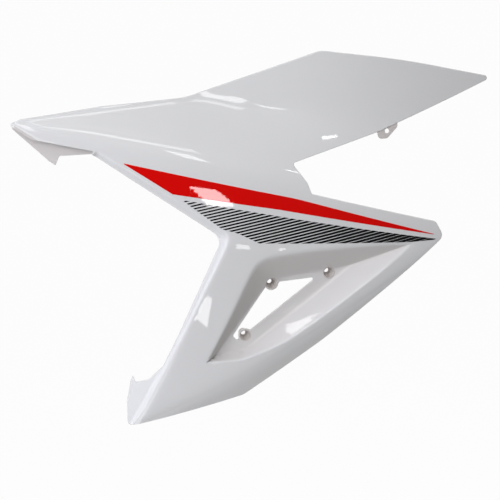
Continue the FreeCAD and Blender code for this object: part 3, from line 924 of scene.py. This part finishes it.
across = np.array([-math.sin(bar_angle), math.cos(bar_angle)])
heights = hatch_outline @ across
first_bar = math.ceil(heights.min() / bar_pitch)
bar_count = math.floor(heights.max() / bar_pitch) - first_bar + 1
bar_front = hatch_corners[0][0] - bar_pitch
bar_rear = hatch_corners[2][0] + bar_pitch
bar_middle = 0.5 * (bar_front + bar_rear)
first_height = (first_bar * bar_pitch - bar_middle * across[0]) / across[1]
bars = hatch.modifiers.new("slanting bars", "NODES")
bars.node_group = hatch_tree()
bar_values = {
    "Bars": bar_count,
    "First bar": (bar_middle * mm, bar_depth * mm, first_height * mm),
    "Step": (0.0, 0.0, bar_pitch / across[1] * mm),
    "Half length": 0.5 * (bar_rear - bar_front) / across[1] * mm,
    "Front width": bar_width_front * mm,
    "Rear width": bar_width_rear * mm,
    "Turn": (0.0, -bar_angle, 0.0),
    "Finish": black_film,
}
for socket in bars.node_group.interface.items_tree:
    if socket.in_out == "INPUT" and socket.name in bar_values:
        bars[socket.identifier] = bar_values[socket.name]
hatch.update_tag()
bpy.context.view_layer.update()
shown = hatch.evaluated_get(bpy.context.evaluated_depsgraph_get())
bar_mesh = bpy.data.meshes.new_from_object(shown)
hatch.modifiers.clear()
hatch.data = bar_mesh

# The cut leaves a few points without a face at the ends of the strips.
clean = bmesh.new()
clean.from_mesh(bar_mesh)
bmesh.ops.delete(clean, geom=[point for point in clean.verts if not point.link_faces], context="VERTS")
clean.to_mesh(bar_mesh)
clean.free()

# The bars' tops take their normals from the skin, so that the gloss runs on from bar to bar.
least_match = 0.9
bar_mesh.polygons.foreach_set("use_smooth", np.ones(len(bar_mesh.polygons), bool))
corner_count = len(bar_mesh.loops)
corner_points = np.zeros(corner_count, np.int32)
bar_mesh.loops.foreach_get("vertex_index", corner_points)
bar_points = np.zeros(3 * len(bar_mesh.vertices))
bar_mesh.vertices.foreach_get("co", bar_points)
flat_normals = np.zeros(3 * len(bar_mesh.polygons))
bar_mesh.polygons.foreach_get("normal", flat_normals)
corner_totals = np.zeros(len(bar_mesh.polygons), np.int32)
bar_mesh.polygons.foreach_get("loop_total", corner_totals)
corner_normals = np.repeat(flat_normals.reshape(-1, 3), corner_totals, axis=0)
skin_normals = face_normals(skin_depth, bar_points.reshape(-1, 3)[:, [0, 2]] / mm)[corner_points]
on_top = np.sum(corner_normals * skin_normals, 1) > least_match
corner_normals[on_top] = skin_normals[on_top]
bar_mesh.normals_split_custom_set(corner_normals.tolist())
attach(hatch, "root")
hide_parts("black_hatch")

# Studio
# A wide pale floor below and behind the panel and a dim room in front of it. Soft lamps stand to the left,
# in front, below and behind, and the gloss mirrors small lamps and windows as bright patches.

floor_mesh = bpy.data.meshes.new("floor")
floor_width = 16.0
floor_front = -0.9
floor_back = 26.0
floor_z = -1.3
floor_mesh.from_pydata(
    [
        (-floor_width, floor_front, floor_z), (floor_width, floor_front, floor_z),
        (floor_width, floor_back, floor_z), (-floor_width, floor_back, floor_z),
    ],
    [], [(0, 1, 2, 3)],
)
floor = bpy.data.objects.new("floor", floor_mesh)
bpy.context.scene.collection.objects.link(floor)
floor_material = bpy.data.materials.new("pale floor")
floor_material.use_nodes = True
floor_nodes, floor_links = floor_material.node_tree.nodes, floor_material.node_tree.links
floor_shader = floor_nodes["Principled BSDF"]
floor_shader.inputs["Base Color"].default_value = (0.6, 0.6, 0.6, 1.0)
floor_shader.inputs["Roughness"].default_value = 0.9
floor_shader.inputs["Specular IOR Level"].default_value = 0.0
floor_glow = floor_nodes.new("ShaderNodeEmission")
floor_glow.inputs["Color"].default_value = (1.0, 1.0, 1.0, 1.0)


def shown_background(nodes, links):
    """One for a ray from the camera, a mirror or clear glass, and zero for any other."""
    path = nodes.new("ShaderNodeLightPath")
    seen = path.outputs["Is Camera Ray"]
    for name in ("Is Glossy Ray", "Is Transmission Ray"):
        either = nodes.new("ShaderNodeMath")
        either.operation = "MAXIMUM"
        links.new(seen, either.inputs[0])
        links.new(path.outputs[name], either.inputs[1])
        seen = either.outputs[0]
    return seen


floor_share = floor_nodes.new("ShaderNodeMath")
floor_share.operation = "MULTIPLY"
floor_share.inputs[1].default_value = 0.97
floor_links.new(shown_background(floor_nodes, floor_links), floor_share.inputs[0])
floor_mix = floor_nodes.new("ShaderNodeMixShader")
floor_links.new(floor_share.outputs[0], floor_mix.inputs["Fac"])
floor_links.new(floor_shader.outputs["BSDF"], floor_mix.inputs[1])
floor_links.new(floor_glow.outputs["Emission"], floor_mix.inputs[2])
floor_links.new(floor_mix.outputs["Shader"], floor_nodes["Material Output"].inputs["Surface"])
floor_mesh.materials.append(floor_material)

sky_direction = (0.25, -0.433, 0.866)
sky_focus = 4.0
sky_strength = 0.9
room_strength = 0.03
world = bpy.data.worlds.new("studio")
bpy.context.scene.world = world
world.use_nodes = True
room_nodes, room_links = world.node_tree.nodes, world.node_tree.links
room = room_nodes["Background"]
room.inputs["Color"].default_value = (1.0, 1.0, 1.0, 1.0)
toward = room_nodes.new("ShaderNodeTexCoord")
sky_height = room_nodes.new("ShaderNodeVectorMath")
sky_height.operation = "DOT_PRODUCT"
sky_height.inputs[1].default_value = sky_direction
room_links.new(toward.outputs["Generated"], sky_height.inputs[0])
sky_glow = sky_height.outputs["Value"]
for operation, number in (
    ("MAXIMUM", 0.0), ("POWER", sky_focus), ("MULTIPLY", sky_strength), ("ADD", room_strength),
):
    step = room_nodes.new("ShaderNodeMath")
    step.operation = operation
    step.inputs[1].default_value = number
    room_links.new(sky_glow, step.inputs[0])
    sky_glow = step.outputs[0]
room_links.new(sky_glow, room.inputs["Strength"])
backdrop = room_nodes.new("ShaderNodeBackground")
backdrop.inputs["Color"].default_value = (1.0, 1.0, 1.0, 1.0)
backdrop.inputs["Strength"].default_value = 1.0
facing = room_nodes.new("ShaderNodeSeparateXYZ")
room_links.new(toward.outputs["Generated"], facing.inputs["Vector"])
behind = room_nodes.new("ShaderNodeMapRange")
behind.inputs["From Min"].default_value = 0.0
behind.inputs["From Max"].default_value = 0.4
room_links.new(facing.outputs["Y"], behind.inputs["Value"])
mirrored = room_nodes.new("ShaderNodeMath")
mirrored.operation = "MULTIPLY"
room_links.new(shown_background(room_nodes, room_links), mirrored.inputs[0])
room_links.new(behind.outputs["Result"], mirrored.inputs[1])
room_path = room_nodes.new("ShaderNodeLightPath")
room_seen = room_nodes.new("ShaderNodeMath")
room_seen.operation = "MAXIMUM"
room_links.new(mirrored.outputs[0], room_seen.inputs[0])
room_links.new(room_path.outputs["Is Camera Ray"], room_seen.inputs[1])
room_mix = room_nodes.new("ShaderNodeMixShader")
room_links.new(room_seen.outputs[0], room_mix.inputs["Fac"])
room_links.new(room.outputs["Background"], room_mix.inputs[1])
room_links.new(backdrop.outputs["Background"], room_mix.inputs[2])
room_links.new(room_mix.outputs["Shader"], room_nodes["World Output"].inputs["Surface"])


def lamp(name, energy, location, target, size, colour=(1.0, 1.0, 1.0), roll=0.0, mirrored=True):
    """Flat lamp aimed at a target; one that isn't mirrored leaves no patch on the gloss."""
    data = bpy.data.lights.new(name, "AREA")
    data.energy = energy
    data.color = colour
    data.shape = "RECTANGLE"
    data.size, data.size_y = size
    made = bpy.data.objects.new(name, data)
    made.location = location
    aim = (Vector(target) - Vector(location)).to_track_quat("-Z", "Y")
    made.rotation_euler = (aim @ Quaternion((0.0, 0.0, 1.0), math.radians(roll))).to_euler()
    made.visible_glossy = mirrored
    bpy.context.scene.collection.objects.link(made)


def around(azimuth, elevation, distance):
    """Place at a distance from the panel, by degrees to the right of its front and above it."""
    side, height = math.radians(azimuth), math.radians(elevation)
    return (
        distance * math.sin(side) * math.cos(height),
        -distance * math.cos(side) * math.cos(height),
        distance * math.sin(height),
    )


panel_middle = (0.0, 0.0, 0.05)
pale_blue = (0.87, 0.89, 1.0)
lamp("left lamp", 35.5, around(-72.0, 10.0, 3.0), panel_middle, (2.4, 1.8), pale_blue)
lamp("front left lamp", 29.5, around(-35.0, 25.0, 3.0), panel_middle, (1.5, 1.5))
lamp("low reflector", 15.0, around(-40.0, -25.0, 3.0), panel_middle, (1.5, 1.5))
lamp("upper left lamp", 1.6, around(-78.0, 54.5, 2.0), panel_middle, (0.36, 0.14))
lamp("strip light", 2.4, (0.05, -1.7, 2.2), (-0.12, 0.0, 0.19), (1.0, 0.22))
lamp("arm window", 0.3, (-0.18, -1.3, -0.478), (-0.084, -0.028, -0.022), (0.24, 0.055), roll=-22.0)
lamp("lamp behind tail", 34.0, around(150.0, 30.0, 3.0), panel_middle, (1.8, 1.5), mirrored=False)
lamp("lamp behind beak", 20.0, around(-155.0, 15.0, 3.0), panel_middle, (1.5, 1.5), mirrored=False)
lamp("blade window", 1.1, (0.245, -1.7, 1.42), (-0.036, 0.02, 0.21), (0.16, 0.38))
lamp("notch window", 0.13, (0.891, -1.5, 1.554), (0.07, 0.0, 0.167), (0.13, 0.026), roll=-72.0)
lamp("low front window", 0.09, (0.09, -1.5, -0.335), (-0.038, -0.035, 0.051), (0.06, 0.08))
lamp("low side window", 0.05, (0.27, -1.5, -0.352), (0.008, -0.036, 0.043), (0.035, 0.07))
slat_count = 5
slat_middle = (0.003, -2.0)
slat_run = 0.08
slat_drop = 0.05
for step in range(slat_count):
    down = step / (slat_count - 1.0) - 0.5
    spot = (slat_middle[0] + slat_run * down, slat_middle[1], -slat_drop * down)
    lamp("stripe window slat %d" % (step + 1), 0.075, spot, (spot[0], 0.0, spot[2]), (0.148, 0.0125))

# Camera
# It stands to the front left of the panel and a little above it, as far off as the long lens needs.

view_azimuth = math.radians(12.0)
view_elevation = math.radians(14.0)
view_distance = 2.5
pixels = 500.0
size_of_pixel = 1.15 * mm
plate_pixel = (271.5, 283.5)
plate_centre = Vector((0.0, -screw_seat_depth * mm, 0.0))
ahead = Vector((
    math.sin(view_azimuth) * math.cos(view_elevation),
    math.cos(view_azimuth) * math.cos(view_elevation),
    -math.sin(view_elevation),
))
rightward = Vector((math.cos(view_azimuth), -math.sin(view_azimuth), 0.0))
upward = rightward.cross(ahead)
aside = (plate_pixel[0] - pixels / 2.0) * size_of_pixel
below = (plate_pixel[1] - pixels / 2.0) * size_of_pixel
camera_data = bpy.data.cameras.new("camera")
camera_data.sensor_width = 36.0
camera_data.lens = camera_data.sensor_width * view_distance / size_of_pixel / pixels
camera = bpy.data.objects.new("camera", camera_data)
camera.location = plate_centre - (rightward * aside - upward * below + ahead * view_distance)
camera.rotation_euler = ahead.to_track_quat("-Z", "Y").to_euler()
bpy.context.scene.collection.objects.link(camera)
bpy.context.scene.camera = camera
bpy.context.scene.view_settings.view_transform = "Standard"
